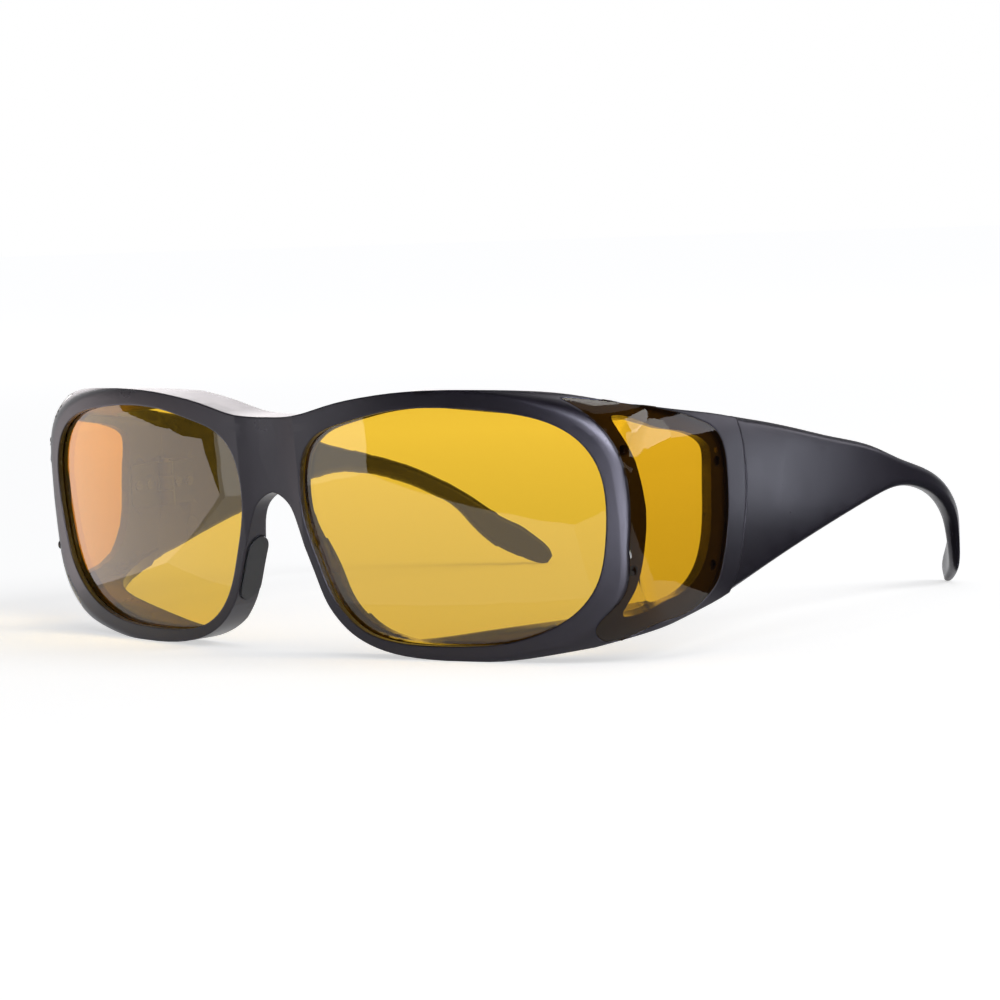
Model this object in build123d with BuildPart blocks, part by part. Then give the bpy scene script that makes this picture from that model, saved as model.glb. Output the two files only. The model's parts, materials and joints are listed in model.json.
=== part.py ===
from build123d import *
from math import atan2, cos, degrees, hypot, radians, sin, sqrt, tan
import os

os.makedirs("parts", exist_ok=True)

# Fitover sunglasses, in millimetres. X runs across the face with the wearer's left at +X,
# Y runs back along the temples, and Z is up from the table that the rims and the tips rest on.
# Only the left half is drawn, and the right half mirrors it.

# Overall sizes
hinge_width = 150.0
front_height = 49.4
side_depth = 43.0
temple_length = 118.2
bridge_drop = 5.0
bridge_depth = 14.1
crease_drop = 4.4

# Front face: an upright cylinder that leans back at its foot
face_radius = 189.0
face_lean = 5.06
side_radius = 170.0
waist_height = 26.5
lean_height = 25.0
side_crown = 1.4
shoulder_crown = 3.6
corner_radius = 5.1
corner_swell = 31.0
crown_heights_shares = (-1.06, -0.93, -0.79, -0.62, -0.4, 0.0, 0.4, 0.62, 0.79, 0.93, 1.06)

# Walls of the front
face_wall = 4.0
side_wall = 3.8
shelf_wall = 2.3
foot_half_length = 4.2
foot_x = 40.0

# Main lens, its opening and its groove
lens_width = 60.5
brow_rim = 3.2
nose_gap = 14.6
lens_foot = 2.7
lens_thickness = 1.8
lens_lip = 1.2
groove_depth = 0.7
groove_play = 0.05

# Side window, side lens and its pegs
side_lens_thickness = 1.8
side_lens_play = 0.08
peg_radius = 0.95
peg_length = 1.5
peg_play = 0.08

# Nose pad
pad_length = 13.0
pad_width = 5.4
pad_thickness = 0.75
pad_pocket = 0.45
pad_play = 0.1
pad_stud_radius = 0.8
pad_stud_length = 0.7
pad_stud_setback = 1.3
pad_height = 15.5
pad_setback = 4.5

# Bridge scoop between its two creases, and the bridge wall behind it
scoop_half_width = 7.2
scoop_depth = 0.75
nose_half_width = 16.0

# Hinge
hinge_height = 27.0
hinge_inset = 4.9
hinge_back_share = 1.077
leaf_thickness = 0.9
leaf_height = 9.0
leaf_length = 9.4
leaf_sink = 0.55
leaf_corner = 1.2
leaf_play = 0.05
knuckle_radius = 1.5
knuckle_gap = 0.1
pin_radius = 0.65
pin_play = 0.06
pin_head_radius = 1.05
pin_head_height = 0.6
pin_slot_width = 0.35
pin_slot_depth = 0.3
fixing_radius = 0.5
fixing_play = 0.05
fixing_head_radius = 0.95
fixing_head_height = 0.45
fixing_length = 1.9
fixing_first = 4.2
fixing_pitch = 3.4
fixing_slot_width = 0.3
fixing_slot_depth = 0.2
knuckle_clearance = 0.3
head_room_height = 1.3
seam_gap = 0.25

# Temple
temple_root_thickness = 3.8
temple_root_depth = 32.0
temple_root_height = 26.7
temple_turn = 49.4
temple_turn_power = 3.48
temple_tip_overhang = 0.34
temple_crown_radius = 125.0
temple_edge_share = 0.42
temple_step = 0.5

overrun = 12.0

# Front outline seen from ahead, from the middle outwards: shares of the half width and of the brow height
brow_shares = (
    (0.107, 0.909), (0.211, 0.948), (0.312, 0.976), (0.401, 0.992), (0.515, 1.0),
    (0.667, 1.0), (0.853, 0.996), (1.133, 0.988),
)
nose_shares = (
    (0.032, 0.595), (0.057, 0.561), (0.072, 0.516), (0.093, 0.427), (0.123, 0.306),
    (0.152, 0.198), (0.177, 0.146), (0.213, 0.095), (0.275, 0.045), (0.364, 0.012),
)
sole_shares = ((0.669, 0.010), (0.748, 0.030), (0.853, 0.061), (1.133, 0.162))

# Side outline: shares of the side depth and of the brow height
side_top_shares = (
    (-0.19, 1.004), (0.0, 1.002), (0.17, 0.994), (0.247, 0.982), (0.326, 0.957), (0.449, 0.931),
    (0.656, 0.903), (0.919, 0.872), (1.0, 0.860), (1.28, 0.822),
)
side_foot_shares = (
    (0.221, 0.0), (0.291, 0.030), (0.349, 0.063), (0.419, 0.091), (0.512, 0.117), (0.628, 0.142),
    (0.756, 0.168), (0.916, 0.202), (1.023, 0.231), (1.28, 0.304),
)
seam_shares = (
    (1.0, 0.945), (1.037, 0.860), (1.063, 0.802), (1.081, 0.682), (1.077, 0.547), (1.056, 0.443),
    (1.035, 0.342), (1.007, 0.275), (0.937, 0.198), (0.86, 0.14),
)
side_lens_shares = (
    (0.226, 0.957), (0.260, 0.885), (0.302, 0.765), (0.333, 0.585), (0.337, 0.405), (0.330, 0.223),
    (0.312, 0.105), (0.342, 0.081), (0.463, 0.126), (0.602, 0.152), (0.719, 0.178), (0.802, 0.219),
    (0.863, 0.267), (0.895, 0.326), (0.923, 0.419), (0.942, 0.555), (0.942, 0.650), (0.933, 0.733),
    (0.907, 0.789), (0.851, 0.834), (0.781, 0.858), (0.709, 0.879), (0.584, 0.905), (0.447, 0.931),
    (0.347, 0.949), (0.281, 0.960),
)

# Lens opening seen from ahead: shares of the lens width and height, from its lower nose corner
lens_shares = (
    (0.0, 0.63), (0.01, 0.51), (0.045, 0.352), (0.083, 0.218), (0.137, 0.113), (0.21, 0.044),
    (0.31, 0.009), (0.49, 0.0), (0.66, 0.016), (0.79, 0.069), (0.89, 0.152), (0.957, 0.271),
    (0.99, 0.44), (1.0, 0.614), (0.985, 0.752), (0.935, 0.862), (0.85, 0.936), (0.71, 0.98),
    (0.512, 1.0), (0.34, 0.986), (0.179, 0.936), (0.085, 0.889), (0.028, 0.81), (0.006, 0.72),
)

# Window through the side wall: shares of the side depth and of the brow height
window_shares = (
    (0.323, 0.877), (0.340, 0.822), (0.377, 0.753), (0.409, 0.658), (0.428, 0.557), (0.426, 0.457),
    (0.407, 0.338), (0.374, 0.247), (0.358, 0.180), (0.491, 0.204), (0.628, 0.233), (0.709, 0.265),
    (0.781, 0.324), (0.828, 0.425), (0.844, 0.561), (0.852, 0.680), (0.846, 0.757), (0.795, 0.791),
    (0.614, 0.830), (0.463, 0.862),
)
peg_shares = ((0.337, 0.773), (0.370, 0.340), (0.895, 0.700), (0.849, 0.322))

# Back edge of the shelves in plan: shares of the half width and of the side depth
shelf_shares = (
    (0.0, 0.209), (0.267, 0.223), (0.467, 0.291), (0.667, 0.395), (0.8, 0.523), (0.88, 0.698),
    (0.92, 0.860), (0.936, 1.1),
)

# Back edge of the nose flanks: shares of the side depth and of the brow height
flank_shares = (
    (0.095, 0.69), (0.095, 0.6), (0.105, 0.51), (0.14, 0.42), (0.165, 0.34), (0.178, 0.25), (0.19, 0.17),
    (0.225, 0.08),
)

# Temple sections: how far along, centre height, depth across the arm and thickness,
# as shares of the temple length, the root height, the root depth and the root thickness
temple_shares = (
    (-0.076, 0.985, 1.116, 1.0), (0.0, 1.0, 1.0, 1.0), (0.093, 1.026, 0.844, 0.97),
    (0.195, 1.047, 0.672, 0.93), (0.300, 1.060, 0.500, 0.9), (0.423, 1.067, 0.3125, 0.87),
    (0.508, 1.034, 0.181, 0.87), (0.618, 0.948, 0.131, 0.9), (0.711, 0.820, 0.125, 0.9),
    (0.778, 0.685, 0.122, 0.87), (0.821, 0.573, 0.134, 0.8), (0.854, 0.449, 0.172, 0.72),
    (0.888, 0.331, 0.203, 0.66), (0.922, 0.243, 0.2125, 0.6), (0.956, 0.160, 0.1875, 0.56),
    (0.986, 0.0768, 0.134, 0.46), (1.0, 0.0306, 0.06, 0.3),
)

# Places worked out from the sizes above
half_width = hinge_width / 2
bridge_height = front_height - bridge_drop
arch_height = bridge_height - bridge_depth
lens_height = front_height - lens_foot - brow_rim
lean_rate = tan(radians(face_lean))


def temple_heading(along):
    """Inward heading of the temple, in degrees, at a distance along it from the seam."""
    return temple_turn * max(along / temple_length, 0) ** temple_turn_power


def temple_plan(along):
    """Place of the temple's outer skin, from the seam, at a distance along it."""
    steps = max(int(abs(along) / temple_step), 1)
    stride = along / steps
    inward = sum(sin(radians(temple_heading(stride * (i + 0.5)))) for i in range(steps)) * stride
    back = sum(cos(radians(temple_heading(stride * (i + 0.5)))) for i in range(steps)) * stride
    return inward, back


# The origin is under the middle of the whole pair, opened out
brow_lead = lean_rate * (front_height - crease_drop - lean_height)
temple_back = side_depth + temple_plan(temple_length)[1]
front_y = (brow_lead - temple_back - temple_tip_overhang) / 2
seam_y = front_y + side_depth
hinge_x = half_width - hinge_inset
hinge_y = front_y + hinge_back_share * side_depth
inner_x = half_width - side_wall
leaf_x = inner_x + leaf_sink
knuckle_height = (leaf_height - 2 * knuckle_gap) / 3


def swell_at(height):
    """How far a height lies from the waist, as a share of the way to the brow or the foot."""
    if height > waist_height:
        return (height - waist_height) / (front_height - waist_height)
    return (height - waist_height) / waist_height


def height_at(swell):
    """The height that lies a share of the way from the waist to the brow or the foot."""
    return waist_height + swell * (front_height - waist_height if swell > 0 else waist_height)


def side_inset(height):
    """How far the side skin comes in at a height, from its crown."""
    swell = swell_at(height)
    return side_crown * swell**2 + shoulder_crown * swell**8


def face_y(height):
    """Where the face cylinder stands at the middle of the bridge, at a height."""
    return front_y - lean_rate * (height - lean_height)


def circle_crossing(first, first_radius, second, second_radius):
    """The crossing of two circles on the right of the line between their centres."""
    across = second[0] - first[0]
    ahead = second[1] - first[1]
    span = hypot(across, ahead)
    along = (first_radius**2 - second_radius**2 + span**2) / (2 * span)
    off = sqrt(first_radius**2 - along**2)
    return (
        first[0] + (along * across - off * ahead) / span,
        first[1] + (along * ahead + off * across) / span,
    )


def hull_section(height, face_set, side_set):
    """Half of the front in plan at one height, set in from the outer skin."""
    corner = max(corner_radius + corner_swell * swell_at(height) ** 4 - side_set, corner_radius / 4)
    face_centre = (0, face_y(height) + face_radius)
    side_centre = (half_width - side_radius - side_inset(height), seam_y)
    face_r = face_radius - face_set
    side_r = side_radius - side_set
    tip = circle_crossing(face_centre, face_r, side_centre, side_r)
    back = seam_y + overrun
    rise = degrees(atan2(back - seam_y, sqrt(side_r**2 - (back - seam_y) ** 2)))
    face_turn = degrees(atan2(tip[0], face_centre[1] - tip[1]))
    side_turn = degrees(atan2(seam_y - tip[1], tip[0] - side_centre[0]))
    with BuildSketch(Plane.XY.offset(height)) as section:
        with BuildLine():
            face_arc = CenterArc(face_centre, face_r, -90, face_turn)
            side_arc = CenterArc(side_centre, side_r, -side_turn, side_turn + rise)
            Line(side_arc @ 1, (0, back))
            Line((0, back), face_arc @ 0)
        make_face()
        fillet(section.vertices().sort_by_distance(tip)[0], corner)
    return section.sketch


def hull(face_set, side_set):
    """Half of the front as a plain crowned block, set in from the outer skin."""
    heights = [height_at(share) for share in crown_heights_shares]
    with BuildPart() as block:
        loft([hull_section(height, face_set, side_set) for height in heights])
    return block.part



def named(shares, width, height, start=0.0):
    """Points of an outline from its shares."""
    return [(start + across * width, up * height) for across, up in shares]


def shifted(points, amount, closed=False):
    """The same outline moved sideways, to the right of its run, by an amount."""
    moved = []
    count = len(points)
    for i, (x, y) in enumerate(points):
        before = points[i - 1] if i > 0 or closed else points[i]
        after = points[(i + 1) % count] if i < count - 1 or closed else points[i]
        run = hypot(after[0] - before[0], after[1] - before[1])
        moved.append((x + amount * (after[1] - before[1]) / run, y - amount * (after[0] - before[0]) / run))
    return moved


def nose_points(wall):
    """The arch under the bridge and the inner edge of the rim, a wall's thickness in from it."""
    nose = [(0, arch_height)] + named(nose_shares, half_width, front_height)
    nose.append((foot_x - foot_half_length, 0))
    nose = shifted(nose, -wall)
    nose[0] = (0, arch_height + wall)
    nose[-1] = (foot_x - foot_half_length, wall)
    return [(-nose[1][0], nose[1][1])] + nose


def front_prism(wall):
    """Everything inside the outline seen from ahead, a wall's thickness in from it."""
    brow = [(0, bridge_height)] + named(brow_shares, half_width, front_height)
    sole = [(foot_x + foot_half_length, 0)] + named(sole_shares, half_width, front_height)
    brow = shifted(brow, wall)
    nose = nose_points(wall)
    sole = shifted(sole, -wall)
    brow[0] = (0, bridge_height - wall)
    brow = [(-brow[1][0], brow[1][1])] + brow
    sole[0] = (foot_x + foot_half_length, wall)
    with BuildPart() as prism:
        with BuildSketch(Plane.XZ):
            with BuildLine():
                Spline(*brow)
                Spline(*nose)
                Line(nose[-1], sole[0])
                Spline(*sole)
                Line(sole[-1], brow[-1])
                Line(brow[0], nose[0])
            make_face()
        extrude(amount=hinge_width, both=True)
    return prism.part


def nose_strip(near, far):
    """A sheet that follows the nose flank, between two depths under its skin."""
    outer_edge = nose_points(near)
    inner_edge = nose_points(far)
    with BuildPart() as strip:
        with BuildSketch(Plane.XZ):
            with BuildLine():
                Spline(*outer_edge)
                Spline(*inner_edge)
                Line(outer_edge[0], inner_edge[0])
                Line(outer_edge[-1], inner_edge[-1])
            make_face()
        extrude(amount=hinge_width, both=True)
    return strip.part


def side_prism(wall):
    """Everything inside the outline seen from the side, a wall's thickness in from it."""
    top = shifted(named(side_top_shares, side_depth, front_height, front_y), wall)
    foot = shifted(named(side_foot_shares, side_depth, front_height, front_y), -wall)
    ahead = front_y - overrun
    foot[0] = (foot[0][0], wall)
    with BuildPart() as prism:
        with BuildSketch(Plane.YZ):
            with BuildLine():
                Spline(*top)
                Spline(*foot)
                Polyline(foot[0], (ahead, wall), (ahead, top[0][1]), top[0])
                Line(top[-1], foot[-1])
            make_face()
        extrude(amount=hinge_width)
    return prism.part


def face_slab(near, far):
    """Half of a sheet that follows the face, between two depths behind it."""
    low = -overrun
    centre = (0, face_y(low) + face_radius)
    sweep = degrees(half_width / face_radius) * 1.15
    with BuildPart() as slab:
        with BuildSketch(Plane.XY.offset(low)):
            with BuildLine():
                front = CenterArc(centre, face_radius - near, -90, sweep)
                back = CenterArc(centre, face_radius - far, -90, sweep)
                Line(front @ 0, back @ 0)
                Line(front @ 1, back @ 1)
            make_face()
        extrude(amount=front_height + 2 * overrun, dir=(0, -lean_rate, 1))
    return slab.part


def lens_prism(growth):
    """The lens outline seen from ahead, run front to back, grown by an amount."""
    points = named(lens_shares, lens_width, lens_height, nose_gap / 2)
    points = shifted([(x, z + lens_foot) for x, z in points], growth, closed=True)
    with BuildPart() as prism:
        with BuildSketch(Plane.XZ):
            with BuildLine():
                Spline(*points, periodic=True)
            make_face()
        extrude(amount=hinge_width, both=True)
    return prism.part


def side_outline(shares, growth, start_x):
    """A closed outline on the side wall, run outwards along X from a place, grown by an amount."""
    points = named(shares, side_depth, front_height, front_y)
    points = shifted(points, growth, closed=True)
    with BuildPart() as prism:
        with BuildSketch(Plane.YZ.offset(start_x)):
            with BuildLine():
                Spline(*points, periodic=True)
            make_face()
        extrude(amount=hinge_width)
    return prism.part


def seam_prism(shift, ahead):
    """Everything ahead of the hinge seam, or behind it, with the seam moved back by a shift."""
    points = [(y + shift, z) for y, z in named(seam_shares, side_depth, front_height, front_y)]
    top = front_height + overrun
    far = seam_y - hinge_width if ahead else seam_y + 2 * hinge_width
    with BuildPart() as prism:
        with BuildSketch(Plane.YZ):
            with BuildLine():
                Spline(*points)
                Polyline(
                    points[-1], (points[-1][0], -overrun), (far, -overrun), (far, top),
                    (points[0][0], top), points[0],
                )
            make_face()
        extrude(amount=hinge_width)
    return prism.part


def flank_place(height):
    """Where the skin of the nose flank stands at a height, and its slope there."""
    points = nose_points(0)
    high, low = next(pair for pair in zip(points[1:], points[2:]) if pair[0][1] >= height >= pair[1][1])
    share = (high[1] - height) / (high[1] - low[1])
    return high[0] + share * (low[0] - high[0]), atan2(low[0] - high[0], high[1] - low[1])


def pad_plane():
    """The plane of the nose pad, with X along the pad and Z out of the flank."""
    place, slope = flank_place(pad_height)
    return Plane(
        origin=(place, front_y + pad_setback, pad_height),
        x_dir=(-sin(slope), -lean_rate * cos(slope), cos(slope)),
        z_dir=(-cos(slope), 0, -sin(slope)),
    )


def pad_form(growth, proud, depth):
    """The slot of the nose pad between a height over the flank's skin and a depth under it."""
    with BuildPart() as form:
        with BuildSketch(pad_plane()):
            SlotOverall(pad_length + 2 * growth, pad_width + 2 * growth)
        extrude(amount=pad_width, both=True)
        add(nose_strip(-proud, depth), mode=Mode.INTERSECT)
    return form.part


def pad_stud(growth):
    """The stud behind the nose pad, clear of the lens groove."""
    plane = pad_plane()
    with BuildPart() as stud:
        with BuildSketch(Plane(origin=plane.origin + (0, pad_stud_setback, 0), z_dir=-plane.z_dir)):
            Circle(pad_stud_radius + growth)
        extrude(amount=pad_pocket + pad_stud_length + growth)
    return stud.part


def rod(centre, direction, radius, length):
    """A round bar from a centre, along a direction."""
    with BuildPart() as bar:
        with BuildSketch(Plane(origin=centre, z_dir=direction)):
            Circle(radius)
        extrude(amount=length)
    return bar.part


def slab(x_run, y_run, z_run):
    """A plain block between two places along each axis."""
    with BuildPart() as box:
        with BuildSketch(Plane.XY.offset(z_run[0])):
            with BuildLine():
                Polyline(
                    (x_run[0], y_run[0]), (x_run[1], y_run[0]), (x_run[1], y_run[1]), (x_run[0], y_run[1]),
                    close=True,
                )
            make_face()
        extrude(amount=z_run[1] - z_run[0])
    return box.part


def leaf_plate(end_y, foot_y, growth):
    """A hinge leaf's plate in its wall, from its rounded end to the foot beside the pin."""
    ahead = 1 if foot_y > end_y else -1
    with BuildPart() as plate:
        with BuildSketch(Plane.YZ.offset(leaf_x - leaf_thickness)):
            with BuildLine():
                low = hinge_height - leaf_height / 2 - growth
                high = hinge_height + leaf_height / 2 + growth
                start = end_y - ahead * growth
                Polyline((start, low), (foot_y, low), (foot_y, high), (start, high), close=True)
            outline = make_face()
            ends = outline.vertices().sort_by(Axis.X)
            fillet(ends[:2] if ahead > 0 else ends[-2:], leaf_corner + growth)
        extrude(amount=leaf_thickness)
    return plate.part


def hinge_rod(radius, low, high):
    """A round bar on the hinge axis between two heights over the table."""
    return rod((hinge_x, hinge_y, low), (0, 0, 1), radius, high - low)


# The front moulding as a solid block, then hollowed behind the face
outer = hull(0, 0)
lens_seat = hull(0, side_lens_thickness)
with BuildPart() as block:
    add(outer)
    add(front_prism(0), mode=Mode.INTERSECT)
    add(side_prism(0), mode=Mode.INTERSECT)

with BuildPart() as cavity:
    add(hull(face_wall, side_wall))
    add(front_prism(shelf_wall), mode=Mode.INTERSECT)
    add(side_prism(shelf_wall), mode=Mode.INTERSECT)

with BuildPart() as head_room:
    edge = [(x, front_y + y) for x, y in named(shelf_shares, half_width, side_depth)]
    with BuildSketch(Plane.XY.offset(-overrun)):
        with BuildLine():
            Spline(*edge)
            Polyline(edge[-1], (edge[-1][0], seam_y + 2 * overrun), (0, seam_y + 2 * overrun), edge[0])
        make_face()
    extrude(amount=front_height + 2 * overrun)

# Shallow nose flanks under the bridge
with BuildPart() as nose_relief:
    flank = named(flank_shares, side_depth, front_height, front_y)
    with BuildSketch(Plane.YZ):
        with BuildLine():
            Spline(*flank)
            Polyline(flank[-1], (seam_y, flank[-1][1]), (seam_y, flank[0][1]), flank[0])
        make_face()
    extrude(amount=nose_half_width)

# Scoop across the bridge
with BuildPart() as scoop:
    crease_y = face_radius - sqrt(face_radius**2 - scoop_half_width**2)
    scoop_radius = (scoop_half_width**2 + scoop_depth**2) / (2 * scoop_depth)
    with BuildSketch(Plane.XY.offset(-overrun)):
        with Locations((0, face_y(-overrun) + crease_y + scoop_depth - scoop_radius)):
            Circle(scoop_radius)
    extrude(amount=front_height + 2 * overrun, dir=(0, -lean_rate, 1))

# Recess and window for the side lens
with BuildPart() as side_recess:
    add(side_outline(side_lens_shares, 0, foot_x))
    add(hull(0, side_lens_thickness + side_lens_play), mode=Mode.SUBTRACT)

with BuildPart() as lens_groove:
    add(face_slab(lens_lip, lens_lip + lens_thickness + 2 * groove_play))
    add(lens_prism(groove_depth), mode=Mode.INTERSECT)

with BuildPart() as lens_opening:
    add(face_slab(-overrun, face_wall + shelf_wall / 2))
    add(lens_prism(0), mode=Mode.INTERSECT)

# Pegs of the side lens and their blind holes
peg_places = []
for peg_y, peg_z in named(peg_shares, side_depth, front_height, front_y):
    crossings = lens_seat.find_intersection_points(Axis((0, peg_y, peg_z), (1, 0, 0)))
    peg_places.append((max(point.X for point, _ in crossings), peg_y, peg_z))

pegs = [
    rod((x - peg_length, y, z), (1, 0, 0), peg_radius, peg_length + side_lens_thickness / 2)
    for x, y, z in peg_places
]
peg_holes = [
    rod((x - peg_length - peg_play, y, z), (1, 0, 0), peg_radius + peg_play, peg_length + side_lens_thickness)
    for x, y, z in peg_places
]

# Hinge places: leaf edges, knuckle heights and the screws that hold the leaves
leaf_low = hinge_height - leaf_height / 2
leaf_high = hinge_height + leaf_height / 2
middle_low = leaf_low + knuckle_height + knuckle_gap
middle_high = middle_low + knuckle_height
knuckle_room = knuckle_radius + knuckle_clearance
fixing_places = (fixing_first, fixing_first + fixing_pitch)
hinge_pocket = hinge_rod(knuckle_room, leaf_low - knuckle_clearance, leaf_high + head_room_height)
fixing_holes = {
    side: [
        rod(
            (leaf_x - leaf_thickness, hinge_y + side * place, hinge_height), (1, 0, 0),
            fixing_radius + fixing_play, fixing_length + fixing_play,
        )
        for place in fixing_places
    ]
    for side in (-1, 1)
}

with BuildPart() as half_front:
    add(block.part)
    add(cavity.part, mode=Mode.SUBTRACT)
    add(head_room.part, mode=Mode.SUBTRACT)
    add(nose_relief.part, mode=Mode.SUBTRACT)
    add(scoop.part, mode=Mode.SUBTRACT)
    add(seam_prism(-seam_gap / 2, True), mode=Mode.INTERSECT)
    add(lens_groove.part, mode=Mode.SUBTRACT)
    add(lens_opening.part, mode=Mode.SUBTRACT)
    add(side_recess.part, mode=Mode.SUBTRACT)
    add(side_outline(window_shares, 0, half_width - 2.2 * side_wall), mode=Mode.SUBTRACT)
    add(peg_holes, mode=Mode.SUBTRACT)
    add(pad_form(pad_play, pad_thickness, pad_pocket), mode=Mode.SUBTRACT)
    add(pad_stud(pad_play), mode=Mode.SUBTRACT)
    add(leaf_plate(hinge_y - leaf_length, hinge_y, leaf_play), mode=Mode.SUBTRACT)
    add(hinge_pocket, mode=Mode.SUBTRACT)
    add(fixing_holes[-1], mode=Mode.SUBTRACT)

with BuildPart() as front_frame:
    add(half_front.part)
    mirror(about=Plane.YZ)

with BuildPart() as lens_left:
    add(face_slab(lens_lip + groove_play, lens_lip + groove_play + lens_thickness))
    add(lens_prism(groove_depth - groove_play), mode=Mode.INTERSECT)

with BuildPart() as side_lens_left:
    add(block.part)
    add(side_outline(side_lens_shares, -side_lens_play, foot_x), mode=Mode.INTERSECT)
    add(lens_seat, mode=Mode.SUBTRACT)
    add(pegs)

with BuildPart() as nose_pad_left:
    add(pad_form(0, pad_thickness - pad_pocket, pad_pocket))
    add(pad_stud(0))


def temple_section(along, height, depth, thickness, pitch):
    """One cross-section of the temple: crowned outside, flat inside, with soft corners."""
    inward, back = temple_plan(along)
    heading = radians(temple_heading(along))
    out = (cos(heading), sin(heading), 0)
    ahead = (-sin(heading) * cos(pitch), cos(heading) * cos(pitch), sin(pitch))
    plane = Plane(origin=(half_width - inward, seam_y + back, height), x_dir=out, z_dir=ahead)
    bulge = depth**2 / (8 * temple_crown_radius)
    half = depth / 2
    with BuildSketch(plane) as section:
        with BuildLine():
            ThreePointArc((-bulge, -half), (0, 0), (-bulge, half))
            Polyline((-bulge, half), (-thickness, half), (-thickness, -half), (-bulge, -half))
        make_face()
        fillet(section.vertices(), temple_edge_share * min(depth, thickness - bulge))
    return section.sketch


def temple_stations():
    """Place, size and pitch of each temple section, from its shares."""
    rows = [
        (a * temple_length, h * temple_root_height, d * temple_root_depth, t * temple_root_thickness)
        for a, h, d, t in temple_shares
    ]
    stations = []
    for i, row in enumerate(rows):
        before = rows[max(i - 1, 0)]
        after = rows[min(i + 1, len(rows) - 1)]
        pitch = atan2(after[1] - before[1], after[0] - before[0]) if i > 5 else 0.0
        stations.append((*row, pitch))
    return stations


with BuildPart() as temple_left:
    loft([temple_section(*station) for station in temple_stations()])
    add(seam_prism(seam_gap / 2, False), mode=Mode.INTERSECT)
    add(leaf_plate(hinge_y + leaf_length, hinge_y, leaf_play), mode=Mode.SUBTRACT)
    add(hinge_pocket, mode=Mode.SUBTRACT)
    add(fixing_holes[1], mode=Mode.SUBTRACT)

# Hinge leaves: two knuckles on the front, one on the temple
with BuildPart() as hinge_front_leaf_left:
    add(leaf_plate(hinge_y - leaf_length, hinge_y, 0))
    add(hinge_rod(knuckle_room, middle_low - knuckle_gap, middle_high + knuckle_gap), mode=Mode.SUBTRACT)
    add(hinge_rod(knuckle_radius, leaf_low, leaf_low + knuckle_height))
    add(hinge_rod(knuckle_radius, leaf_high - knuckle_height, leaf_high))
    add(hinge_rod(pin_radius + pin_play, leaf_low, leaf_high), mode=Mode.SUBTRACT)
    add(fixing_holes[-1], mode=Mode.SUBTRACT)

with BuildPart() as hinge_temple_leaf_left:
    add(leaf_plate(hinge_y + leaf_length, hinge_y, 0))
    add(hinge_rod(knuckle_room, leaf_low, middle_low), mode=Mode.SUBTRACT)
    add(hinge_rod(knuckle_room, middle_high, leaf_high), mode=Mode.SUBTRACT)
    add(hinge_rod(knuckle_radius, middle_low, middle_high))
    add(hinge_rod(pin_radius + pin_play, leaf_low, leaf_high), mode=Mode.SUBTRACT)
    add(fixing_holes[1], mode=Mode.SUBTRACT)

with BuildPart() as hinge_screw_left:
    add(hinge_rod(pin_radius, leaf_low, leaf_high))
    add(hinge_rod(pin_head_radius, leaf_high, leaf_high + pin_head_height))
    head_top = leaf_high + pin_head_height
    slot_run = (-pin_slot_width / 2, pin_slot_width / 2)
    add(
        slab(
            (hinge_x - knuckle_radius, hinge_x + knuckle_radius),
            (hinge_y + slot_run[0], hinge_y + slot_run[1]),
            (head_top - pin_slot_depth, head_top + pin_slot_depth),
        ),
        mode=Mode.SUBTRACT,
    )


def fixing(place_y):
    """A small slotted screw through a hinge leaf into the wall."""
    seat_x = leaf_x - leaf_thickness
    with BuildPart() as screw:
        add(rod((seat_x, place_y, hinge_height), (1, 0, 0), fixing_radius, fixing_length))
        add(rod((seat_x, place_y, hinge_height), (-1, 0, 0), fixing_head_radius, fixing_head_height))
        add(
            slab(
                (seat_x - 2 * fixing_head_height, seat_x - fixing_head_height + fixing_slot_depth),
                (place_y - 2 * fixing_head_radius, place_y + 2 * fixing_head_radius),
                (hinge_height - fixing_slot_width / 2, hinge_height + fixing_slot_width / 2),
            ),
            mode=Mode.SUBTRACT,
        )
    return screw.part


left_pieces = {
    "lens": lens_left.part,
    "side_lens": side_lens_left.part,
    "nose_pad": nose_pad_left.part,
    "temple": temple_left.part,
    "hinge_front_leaf": hinge_front_leaf_left.part,
    "hinge_temple_leaf": hinge_temple_leaf_left.part,
    "hinge_screw": hinge_screw_left.part,
    "front_leaf_screw_a": fixing(hinge_y - fixing_places[0]),
    "front_leaf_screw_b": fixing(hinge_y - fixing_places[1]),
    "temple_leaf_screw_a": fixing(hinge_y + fixing_places[0]),
    "temple_leaf_screw_b": fixing(hinge_y + fixing_places[1]),
}

front_frame.part.label = "front_frame"
export_step(front_frame.part, "parts/front_frame.step")
for name, piece in left_pieces.items():
    twin = mirror(piece, about=Plane.YZ)
    piece.label = f"{name}_left"
    twin.label = f"{name}_right"
    export_step(piece, f"parts/{name}_left.step")
    export_step(twin, f"parts/{name}_right.step")
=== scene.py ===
import json
import math

import bmesh
import bpy
from mathutils import Matrix, Vector
from mathutils.bvhtree import BVHTree

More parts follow.
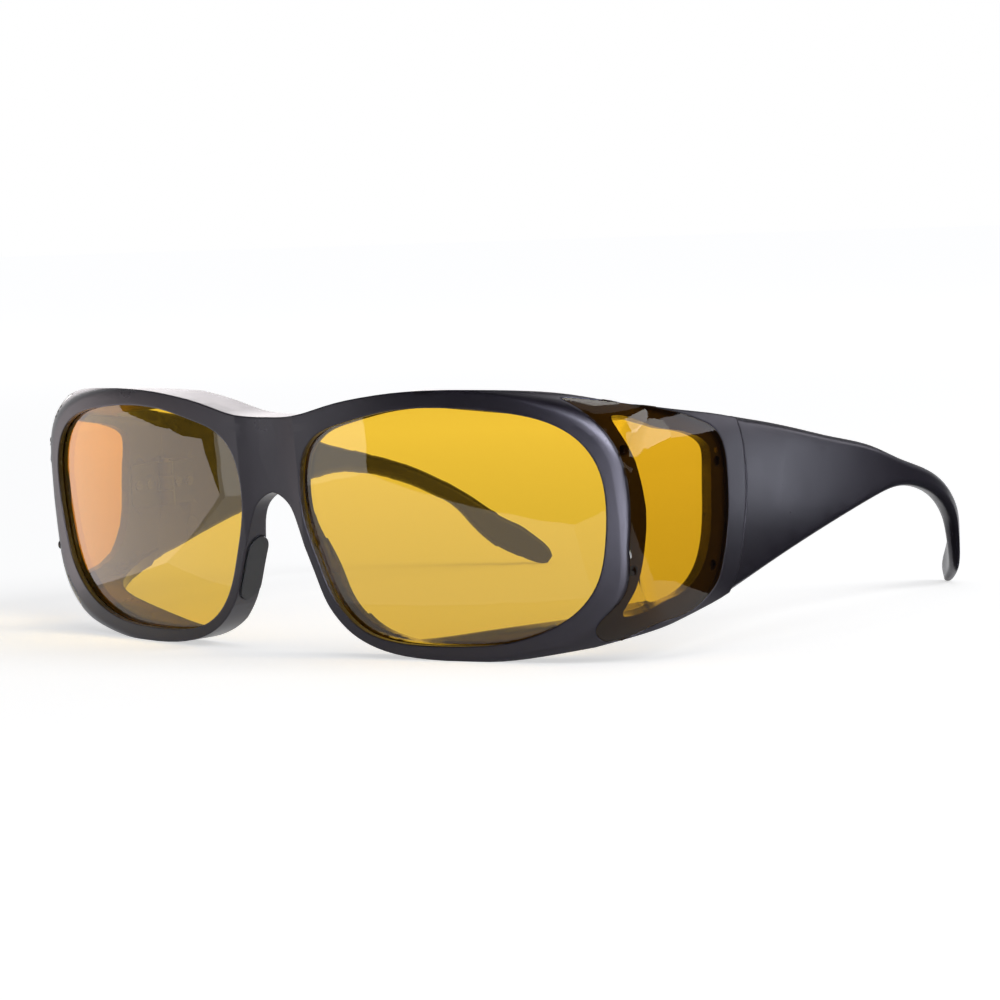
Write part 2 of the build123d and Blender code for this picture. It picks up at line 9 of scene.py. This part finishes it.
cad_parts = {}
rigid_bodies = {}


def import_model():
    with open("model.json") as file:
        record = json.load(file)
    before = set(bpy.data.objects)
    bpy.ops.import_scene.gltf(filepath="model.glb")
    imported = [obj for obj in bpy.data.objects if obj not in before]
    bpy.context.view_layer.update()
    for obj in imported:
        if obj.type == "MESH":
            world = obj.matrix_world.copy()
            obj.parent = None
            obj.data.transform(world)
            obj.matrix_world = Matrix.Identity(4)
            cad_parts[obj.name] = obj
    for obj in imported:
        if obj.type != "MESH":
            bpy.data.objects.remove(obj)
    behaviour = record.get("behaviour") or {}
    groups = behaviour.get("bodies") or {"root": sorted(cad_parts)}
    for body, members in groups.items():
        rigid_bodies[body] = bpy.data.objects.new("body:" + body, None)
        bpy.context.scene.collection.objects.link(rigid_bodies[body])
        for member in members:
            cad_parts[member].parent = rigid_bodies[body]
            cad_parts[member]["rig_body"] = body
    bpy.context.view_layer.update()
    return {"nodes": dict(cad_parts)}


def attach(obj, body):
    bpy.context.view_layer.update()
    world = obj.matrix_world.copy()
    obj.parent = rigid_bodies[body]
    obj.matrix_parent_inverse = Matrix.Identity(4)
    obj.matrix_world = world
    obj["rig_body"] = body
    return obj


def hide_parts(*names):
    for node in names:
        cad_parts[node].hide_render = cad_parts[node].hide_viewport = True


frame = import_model()
nodes = frame["nodes"]
scene = bpy.context.scene

# Camera, placed where the photograph was taken from; lengths in metres unless a name says mm
YAW = math.radians(37.84)
PITCH = math.radians(4.644)
ROLL = -0.032
CAMERA_PLACE = Vector((0.4145, -0.5416, 0.0780))
LENS_MM = 120.6
SENSOR_MM = 36.0
CLIP_NEAR = 0.01
CLIP_FAR = 20.0

ahead = Vector((
    -math.sin(YAW) * math.cos(PITCH),
    math.cos(YAW) * math.cos(PITCH),
    -math.sin(PITCH),
))
level = Vector((math.cos(YAW), math.sin(YAW), 0.0))
upright = level.cross(ahead)
right = math.cos(ROLL) * level + math.sin(ROLL) * upright
up = -math.sin(ROLL) * level + math.cos(ROLL) * upright
camera = bpy.data.objects.new("camera", bpy.data.cameras.new("camera"))
scene.collection.objects.link(camera)
camera.matrix_world = Matrix((
    (right.x, up.x, -ahead.x, CAMERA_PLACE.x),
    (right.y, up.y, -ahead.y, CAMERA_PLACE.y),
    (right.z, up.z, -ahead.z, CAMERA_PLACE.z),
    (0, 0, 0, 1),
))
camera.data.sensor_width = SENSOR_MM
camera.data.lens = LENS_MM
camera.data.clip_start = CLIP_NEAR
camera.data.clip_end = CLIP_FAR
scene.camera = camera
scene.view_settings.view_transform = "Standard"

# Materials
PLASTIC_IOR = 1.5
LENS_IOR = 1.53
LENS_HAZE = 0.010  # the most roughness that a smear gives a lens
OFF_AXIS = (0.51, 0.73, 0.31)  # turns the noise out of step with the flat faces
NO_TURN = (0.0, 0.0, 0.0)
EVEN = (1.0, 1.0, 1.0)
BRUSHED = (1.0, 0.06, 1.0)  # stretches the noise into lines


def material(name):
    """A new node material, its tree, its shader and its output."""
    made = bpy.data.materials.new(name)
    made.use_nodes = True
    tree = made.node_tree
    return made, tree, tree.nodes["Principled BSDF"], tree.nodes["Material Output"]


def add(tree, kind, **values):
    """A node of a kind, with its inputs or its settings set by name."""
    node = tree.nodes.new(kind)
    for key, value in values.items():
        if key in node.inputs:
            node.inputs[key].default_value = value
        else:
            setattr(node, key, value)
    return node


def combine(tree, operation, first, second):
    """The result of a maths operation on two sockets."""
    node = add(tree, "ShaderNodeMath", operation=operation)
    tree.links.new(first, node.inputs[0])
    tree.links.new(second, node.inputs[1])
    return node.outputs[0]


def remap(tree, source, given, wanted):
    """A value carried over from one range to another, and held at its ends."""
    node = add(tree, "ShaderNodeMapRange")
    for key, value in zip(("From Min", "From Max", "To Min", "To Max"), (*given, *wanted)):
        node.inputs[key].default_value = value
    tree.links.new(source, node.inputs["Value"])
    return node.outputs["Result"]


def tint(tree, source, dark_place, dark, light_place, light):
    """A blend from a dark to a light colour, driven by a value."""
    node = add(tree, "ShaderNodeValToRGB")
    for element, place, colour in zip(
        node.color_ramp.elements, (dark_place, light_place), (dark, light)
    ):
        element.position = place
        element.color = (*colour, 1)
    tree.links.new(source, node.inputs["Fac"])
    return node.outputs["Color"]


def noise(tree, scale, detail, roughness=0.5, turn=OFF_AXIS, stretch=EVEN):
    """Procedural noise in the object's own space."""
    place = add(tree, "ShaderNodeTexCoord")
    laid = add(tree, "ShaderNodeMapping", Rotation=turn, Scale=stretch)
    node = add(tree, "ShaderNodeTexNoise", Scale=scale, Detail=detail, Roughness=roughness)
    tree.links.new(place.outputs["Object"], laid.inputs["Vector"])
    tree.links.new(laid.outputs["Vector"], node.inputs["Vector"])
    return node.outputs["Fac"]


def relief(tree, shader, height, strength, depth, edge, samples):
    """Fine relief in the shading, over edges that the shading rounds."""
    bump = add(tree, "ShaderNodeBump", Strength=strength, Distance=depth)
    tree.links.new(height, bump.inputs["Height"])
    if edge:
        soft = add(tree, "ShaderNodeBevel", samples=samples, Radius=edge)
        tree.links.new(soft.outputs["Normal"], bump.inputs["Normal"])
    tree.links.new(bump.outputs["Normal"], shader.inputs["Normal"])


def satin(name, dark, light, roughness, grain_scale, grain_depth, edge):
    """Moulded plastic: fine grain, small changes of colour and gloss, soft edges."""
    made, tree, shader, _ = material(name)
    broad = noise(tree, 28.0, 4.0)
    colour = tint(tree, broad, 0.35, dark, 0.65, light)
    tree.links.new(colour, shader.inputs["Base Color"])
    patches = noise(tree, 90.0, 5.0)
    gloss = remap(tree, patches, (0.3, 0.7), roughness)
    tree.links.new(gloss, shader.inputs["Roughness"])
    grain = noise(tree, grain_scale, 2.0, 0.6)
    relief(tree, shader, grain, 0.25, grain_depth, edge, 6)
    shader.inputs["IOR"].default_value = PLASTIC_IOR
    return made, shader


def amber(name, tone, shadow_tone, shine):
    """Clear amber sheet: tinted through its body, with faint smears in its gloss."""
    made, tree, shader, output = material(name)
    shader.inputs["Base Color"].default_value = (*tone, 1)
    shader.inputs["Transmission Weight"].default_value = 1.0
    shader.inputs["IOR"].default_value = LENS_IOR
    shader.inputs["Specular Tint"].default_value = (shine, shine, shine, 1)
    smears = noise(tree, 40.0, 6.0, 0.6)
    gloss = remap(tree, smears, (0.45, 0.85), (0.0, LENS_HAZE))
    tree.links.new(gloss, shader.inputs["Roughness"])
    shade = add(tree, "ShaderNodeBsdfTransparent", Color=(*shadow_tone, 1))
    path = add(tree, "ShaderNodeLightPath")
    mix = add(tree, "ShaderNodeMixShader")
    tree.links.new(path.outputs["Is Shadow Ray"], mix.inputs[0])
    tree.links.new(shader.outputs["BSDF"], mix.inputs[1])
    tree.links.new(shade.outputs["BSDF"], mix.inputs[2])
    tree.links.new(mix.outputs["Shader"], output.inputs["Surface"])
    return made


def metal(name, tone, roughness, scratch_scale):
    """Brushed metal with fine lines."""
    made, tree, shader, _ = material(name)
    shader.inputs["Metallic"].default_value = 1.0
    lines = noise(tree, scratch_scale, 4.0, turn=NO_TURN, stretch=BRUSHED)
    colour = tint(tree, lines, 0.3, [0.82 * part for part in tone], 0.7, tone)
    tree.links.new(colour, shader.inputs["Base Color"])
    gloss = remap(tree, lines, (0.0, 1.0), (0.8 * roughness, 1.3 * roughness))
    tree.links.new(gloss, shader.inputs["Roughness"])
    relief(tree, shader, lines, 0.2, 0.00002, 0.00012, 4)
    return made


frame_paint, frame_shader = satin(
    "satin_black",
    dark=(0.009, 0.0075, 0.011),
    light=(0.013, 0.011, 0.016),
    roughness=(0.27, 0.34),
    grain_scale=5200.0,
    grain_depth=0.00003,
    edge=0.0005,
)
frame_shader.inputs["Specular IOR Level"].default_value = 0.4
frame_shader.inputs["Specular Tint"].default_value = (0.93, 0.89, 1.0, 1)
frame_shader.inputs["Sheen Weight"].default_value = 0.05
frame_shader.inputs["Sheen Roughness"].default_value = 0.4
frame_shader.inputs["Sheen Tint"].default_value = (0.75, 0.78, 1.0, 1)
border_paint, border_shader = satin(
    "window_border",
    dark=(0.020, 0.012, 0.006),
    light=(0.030, 0.018, 0.009),
    roughness=(0.5, 0.6),
    grain_scale=900.0,
    grain_depth=0.000002,
    edge=0.0,
)
border_shader.inputs["Specular IOR Level"].default_value = 0.05
pad_paint, _ = satin(
    "pad",
    dark=(0.010, 0.010, 0.012),
    light=(0.016, 0.016, 0.019),
    roughness=(0.5, 0.6),
    grain_scale=3800.0,
    grain_depth=0.00004,
    edge=0.0002,
)
lens_paint = amber(
    "main_lens", tone=(0.95, 0.59, 0.045), shadow_tone=(0.94, 0.87, 0.72), shine=1.0
)
window_paint = amber(
    "side_window", tone=(0.79, 0.425, 0.014), shadow_tone=(0.93, 0.86, 0.70), shine=0.5
)
leaf_paint = metal("hinge_steel", (0.045, 0.045, 0.050), roughness=0.36, scratch_scale=3000.0)
screw_paint = metal("screw_steel", (0.10, 0.10, 0.105), roughness=0.28, scratch_scale=4000.0)

# The pieces
PIECE_ANGLE = math.radians(15)  # edges sharper than this stay sharp in the shading
BORDER_ANGLE = math.radians(24)
PIECE_WELD = 0.00002  # closes the tiny facets of the moulded pieces
BORDER_WELD = 0.000002
BORDER_GAP = 0.00030  # the seat's faces lie no further than this from the glass
BORDER_FOOT = 0.00004  # the two skins of the border, as heights over the seat
BORDER_TOP = 0.00012


def paint_of(name):
    """The finish of a CAD node, by its name."""
    if name.startswith("lens"):
        return "main_lens", lens_paint
    if name.startswith("side_lens"):
        return "side_window", window_paint
    if name.startswith("nose_pad"):
        return "pad", pad_paint
    if "screw" in name:
        return "screw_steel", screw_paint
    if name.startswith("hinge"):
        return "hinge_steel", leaf_paint
    return "satin_black", frame_paint


def smooth(mesh, angle):
    """Smooth shading over a mesh, broken at its sharp edges."""
    mesh.polygons.foreach_set("use_smooth", [True] * len(mesh.polygons))
    mesh.set_sharp_from_angle(angle=angle)


def stand_in(name):
    """A piece with the node's own shape and smooth shading, shown in the node's place."""
    mesh = nodes[name].data.copy()
    piece = bpy.data.objects.new("shown_" + name, mesh)
    scene.collection.objects.link(piece)
    slot, paint = paint_of(name)
    if slot == "satin_black":
        shape = bmesh.new()
        shape.from_mesh(mesh)
        bmesh.ops.remove_doubles(shape, verts=shape.verts, dist=PIECE_WELD)
        bmesh.ops.dissolve_degenerate(shape, edges=shape.edges, dist=PIECE_WELD)
        shape.to_mesh(mesh)
        shape.free()
    smooth(mesh, PIECE_ANGLE)
    mesh.materials.clear()
    mesh.materials.append(paint)
    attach(piece, nodes[name]["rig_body"])
    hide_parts(name)
    return piece


def black_border(side, window):
    """The black bonded border of a side window: a thin closed shell between the glass
    and the seat that carries it."""
    glass = window.data
    sheet = BVHTree.FromPolygons([v.co for v in glass.vertices], [p.vertices for p in glass.polygons])
    shape = bmesh.new()
    shape.from_mesh(nodes["front_frame"].data)
    bmesh.ops.remove_doubles(shape, verts=shape.verts, dist=BORDER_WELD)
    away = []
    for face in shape.faces:
        spots = [vert.co for vert in face.verts] + [face.calc_center_median()]
        if any(sheet.find_nearest(spot, BORDER_GAP)[0] is None for spot in spots):
            away.append(face)
    bmesh.ops.delete(shape, geom=away, context="FACES")
    loose = [vert for vert in shape.verts if not vert.link_faces]
    bmesh.ops.delete(shape, geom=loose, context="VERTS")
    shape.normal_update()
    shape.verts.index_update()

    # Outer skin, inner skin with its faces turned round, and a wall along each open edge
    count = len(shape.verts)
    spots = [vert.co + vert.normal * BORDER_TOP for vert in shape.verts]
    spots += [vert.co + vert.normal * BORDER_FOOT for vert in shape.verts]
    faces = [[vert.index for vert in face.verts] for face in shape.faces]
    faces += [[count + corner for corner in reversed(corners)] for corners in faces]
    for edge in shape.edges:
        if len(edge.link_faces) == 1:
            start = edge.link_loops[0].vert.index
            end = edge.link_loops[0].link_loop_next.vert.index
            faces.append([end, start, count + start, count + end])
    shape.free()
    mesh = bpy.data.meshes.new("window_border_" + side)
    mesh.from_pydata(spots, [], faces)
    smooth(mesh, BORDER_ANGLE)
    mesh.materials.append(border_paint)
    piece = bpy.data.objects.new("window_border_" + side, mesh)
    scene.collection.objects.link(piece)
    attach(piece, nodes["front_frame"]["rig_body"])


shown = {name: stand_in(name) for name in nodes}
for side in ("left", "right"):
    black_border(side, shown["side_lens_" + side])

# Floor: a white sheet that glows brighter away from the object; seen through a lens it glows less
# near the object, as painted shade
FLOOR_REACH = 40.0
OPEN_FADE = ((0.10, 1.5), (0.57, 0.80))  # distances, then glow, as seen directly or in gloss
LENS_SHADE_FADE = ((0.02, 0.62), (0.28, 0.65))  # the same, as seen through a lens: dimmer near the object, painted shade on the floor behind the lenses

floor_mesh = bpy.data.meshes.new("floor")
floor_mesh.from_pydata(
    [
        (-FLOOR_REACH, -FLOOR_REACH, 0),
        (FLOOR_REACH, -FLOOR_REACH, 0),
        (FLOOR_REACH, FLOOR_REACH, 0),
        (-FLOOR_REACH, FLOOR_REACH, 0),
    ],
    [],
    [(0, 1, 2, 3)],
)
floor = bpy.data.objects.new("floor", floor_mesh)
scene.collection.objects.link(floor)
floor_paint, floor_tree, floor_shader, floor_output = material("floor")
floor_shader.inputs["Base Color"].default_value = (0.67, 0.668, 0.665, 1)
floor_shader.inputs["Roughness"].default_value = 0.85
floor_shader.inputs["Specular IOR Level"].default_value = 0.0
floor_path = add(floor_tree, "ShaderNodeLightPath")
floor_place = add(floor_tree, "ShaderNodeTexCoord")
distance = add(floor_tree, "ShaderNodeVectorMath", operation="LENGTH")
floor_tree.links.new(floor_place.outputs["Object"], distance.inputs[0])
open_glow = combine(
    floor_tree,
    "MULTIPLY",
    combine(
        floor_tree,
        "MAXIMUM",
        floor_path.outputs["Is Camera Ray"],
        floor_path.outputs["Is Glossy Ray"],
    ),
    remap(floor_tree, distance.outputs["Value"], *OPEN_FADE),
)
# Painted shade: seen through a lens, the floor near the object glows less, in place of the shade that
# the glasses cast
lens_shaded_glow = remap(floor_tree, distance.outputs["Value"], *LENS_SHADE_FADE)
glow_level = add(floor_tree, "ShaderNodeMix", data_type="FLOAT")
glow = add(floor_tree, "ShaderNodeEmission")
both = add(floor_tree, "ShaderNodeAddShader")
floor_tree.links.new(floor_path.outputs["Is Transmission Ray"], glow_level.inputs[0])
floor_tree.links.new(open_glow, glow_level.inputs[2])
floor_tree.links.new(lens_shaded_glow, glow_level.inputs[3])
floor_tree.links.new(glow_level.outputs[0], glow.inputs["Strength"])
floor_tree.links.new(floor_shader.outputs["BSDF"], both.inputs[0])
floor_tree.links.new(glow.outputs["Emission"], both.inputs[1])
floor_tree.links.new(both.outputs["Shader"], floor_output.inputs["Surface"])
floor_mesh.materials.append(floor_paint)

# World: white where it is seen, dim where it lights
world = bpy.data.worlds.new("studio")
scene.world = world
world.use_nodes = True
world_tree = world.node_tree
dim = world_tree.nodes["Background"]
dim.inputs["Color"].default_value = (0.93, 0.95, 1.0, 1)
dim.inputs["Strength"].default_value = 0.30
bright = add(world_tree, "ShaderNodeBackground", Color=(1, 1, 1, 1), Strength=1.0)
world_path = add(world_tree, "ShaderNodeLightPath")
seen = combine(
    world_tree,
    "MAXIMUM",
    combine(
        world_tree,
        "MAXIMUM",
        world_path.outputs["Is Camera Ray"],
        world_path.outputs["Is Transmission Ray"],
    ),
    world_path.outputs["Is Glossy Ray"],
)
choose = add(world_tree, "ShaderNodeMixShader")
world_tree.links.new(seen, choose.inputs[0])
world_tree.links.new(dim.outputs["Background"], choose.inputs[1])
world_tree.links.new(bright.outputs["Background"], choose.inputs[2])
world_tree.links.new(
    choose.outputs["Shader"], world_tree.nodes["World Output"].inputs["Surface"]
)


def softbox(name, place, target, size, power):
    """A rectangular studio light that faces a point."""
    lamp = bpy.data.lights.new(name, "AREA")
    lamp.shape = "RECTANGLE"
    lamp.size, lamp.size_y = size
    lamp.energy = power
    box = bpy.data.objects.new(name, lamp)
    scene.collection.objects.link(box)
    box.location = place
    box.rotation_mode = "QUATERNION"
    box.rotation_quaternion = (Vector(target) - Vector(place)).to_track_quat("-Z", "Y")


softbox("overhead", (0.20, 0.00, 1.2), target=(0, 0, 0), size=(1.2, 1.0), power=2.8)
softbox("side_right", (1.05, 0.28, 0.72), target=(0.0, 0.0, 0.02), size=(0.6, 0.6), power=7.0)


def card(name, corners, tone, strength=1.0):
    """A studio card or flag beside the set, which only reflections show."""
    mesh = bpy.data.meshes.new(name)
    mesh.from_pydata(corners, [], [tuple(range(len(corners)))])
    made = bpy.data.objects.new(name, mesh)
    scene.collection.objects.link(made)
    paint, tree, _, output = material(name)
    shade = add(tree, "ShaderNodeEmission", Color=(*tone, 1), Strength=strength)
    tree.links.new(shade.outputs["Emission"], output.inputs["Surface"])
    paint.cycles.emission_sampling = "NONE"
    mesh.materials.append(paint)
    made.visible_camera = False
    made.visible_diffuse = False
    made.visible_transmission = False
    made.visible_shadow = False


def lying(height, *corners):
    """The corners of a level card."""
    return [(*corner, height) for corner in corners]


def standing(start, end, bottom, top):
    """The corners of an upright card over the line from start to end."""
    return [(*start, bottom), (*end, bottom), (*end, top), (*start, top)]


# The dark room round the white sheet, as the gloss shows it
ROOM = (0.03, 0.03, 0.035)
LOW = 0.0005
CEILING = 1.62
WALL = 1.6
card(
    "flag_near",
    lying(
        LOW,
        (-0.048, -0.211),
        (-0.70, -1.50),
        (0.60, -1.8),
        (0.60, -0.170),
        (0.077, -0.172),
        (0.063, -0.163),
        (0.007, -0.188),
    ),
    ROOM,
)
card(
    "flag_left",
    lying(
        LOW,
        (-0.130, -0.165),
        (-0.20, -0.205),
        (-0.33, -0.175),
        (-1.2, -0.25),
        (-1.2, -0.90),
        (-0.90, -0.77),
    ),
    ROOM,
)
card(
    "flag_right",
    lying(
        LOW,
        (0.17, -0.17),
        (1.8, -0.17),
        (1.8, 2.4),
        (0.0, 2.4),
        (0.045, 0.15),
        (0.068, 0.020),
        (0.078, -0.028),
        (0.092, -0.010),
        (0.13, 0.0),
        (0.17, -0.03),
    ),
    ROOM,
)
card("flag_room", standing((-1.7, -0.9), (1.0, -1.8), 0.0, WALL), ROOM)
card("flag_wall", standing((1.8, -1.8), (1.8, 2.6), 0.0, WALL), ROOM)
card("flag_back", standing((1.8, 2.6), (-0.2, 3.2), 0.0, WALL), ROOM)
card("flag_top", lying(CEILING, (-2.5, -2.5), (2.5, -2.5), (2.5, 2.5), (-2.5, 2.5)), ROOM)
card("flag_temple", standing((0.030, 0.02), (0.030, 0.28), 0.042, 0.14), ROOM)

# Bright paper and lamps that only the gloss shows
COOL = (0.86, 0.90, 1.0)
WHITE = (1, 1, 1)
ROSE = (1.0, 0.90, 0.90)
PALE_ROSE = (1.0, 0.95, 0.95)
VIOLET = (0.93, 0.92, 1.0)
card(
    "sheet_front",
    lying(
        LOW,
        (-0.10, -0.105),
        (-0.125, -0.165),
        (-0.048, -0.211),
        (0.007, -0.188),
        (0.063, -0.163),
        (0.066, -0.105),
    ),
    WHITE,
    strength=1.3,
)
card(
    "sheet_nose",
    lying(LOW, (-0.048, -0.211), (-0.125, -0.165), (-0.45, -0.42), (-0.30, -0.70)),
    WHITE,
    strength=2.2,
)
card(
    "sheet_left",
    lying(
        LOW,
        (-0.11, -0.06),
        (-0.10, -0.105),
        (-0.130, -0.165),
        (-0.20, -0.205),
        (-0.33, -0.175),
        (-1.2, -0.25),
        (-1.2, -0.02),
    ),
    ROSE,
    strength=2.3,
)
card(
    "sheet_corner",
    lying(LOW, (0.081, -0.126), (0.094, -0.34), (0.30, -0.30), (0.123, -0.110)),
    COOL,
    strength=18.0,
)
card("card_key", standing((0.30, -0.86), (0.62, -0.62), 0.02, 0.30), COOL, strength=26.0)
card("card_side", standing((0.105, 0.145), (0.205, 0.070), 0.052, 0.090), VIOLET, strength=2.5)
card(
    "card_window",
    [
        (1.255, -0.265, 0.131),
        (1.019, 0.682, 0.081),
        (0.922, 0.792, 0.148),
        (0.936, 0.777, 0.294),
        (1.044, 0.648, 0.524),
        (1.255, 0.151, 0.624),
        (1.255, -0.265, 0.624),
    ],
    WHITE,
    strength=4.0,
)
card("card_root", standing((0.150, 0.069), (0.1358, 0.085), 0.010, 0.042), COOL, strength=5.0)
card(
    "card_top",
    lying(0.9, (0.00, -0.10), (0.30, -0.10), (0.30, 0.20), (0.00, 0.20)),
    WHITE,
    strength=6.0,
)
card("card_back", standing((-0.53, 1.02), (-1.15, 0.34), 0.15, 0.90), PALE_ROSE, strength=3.0)
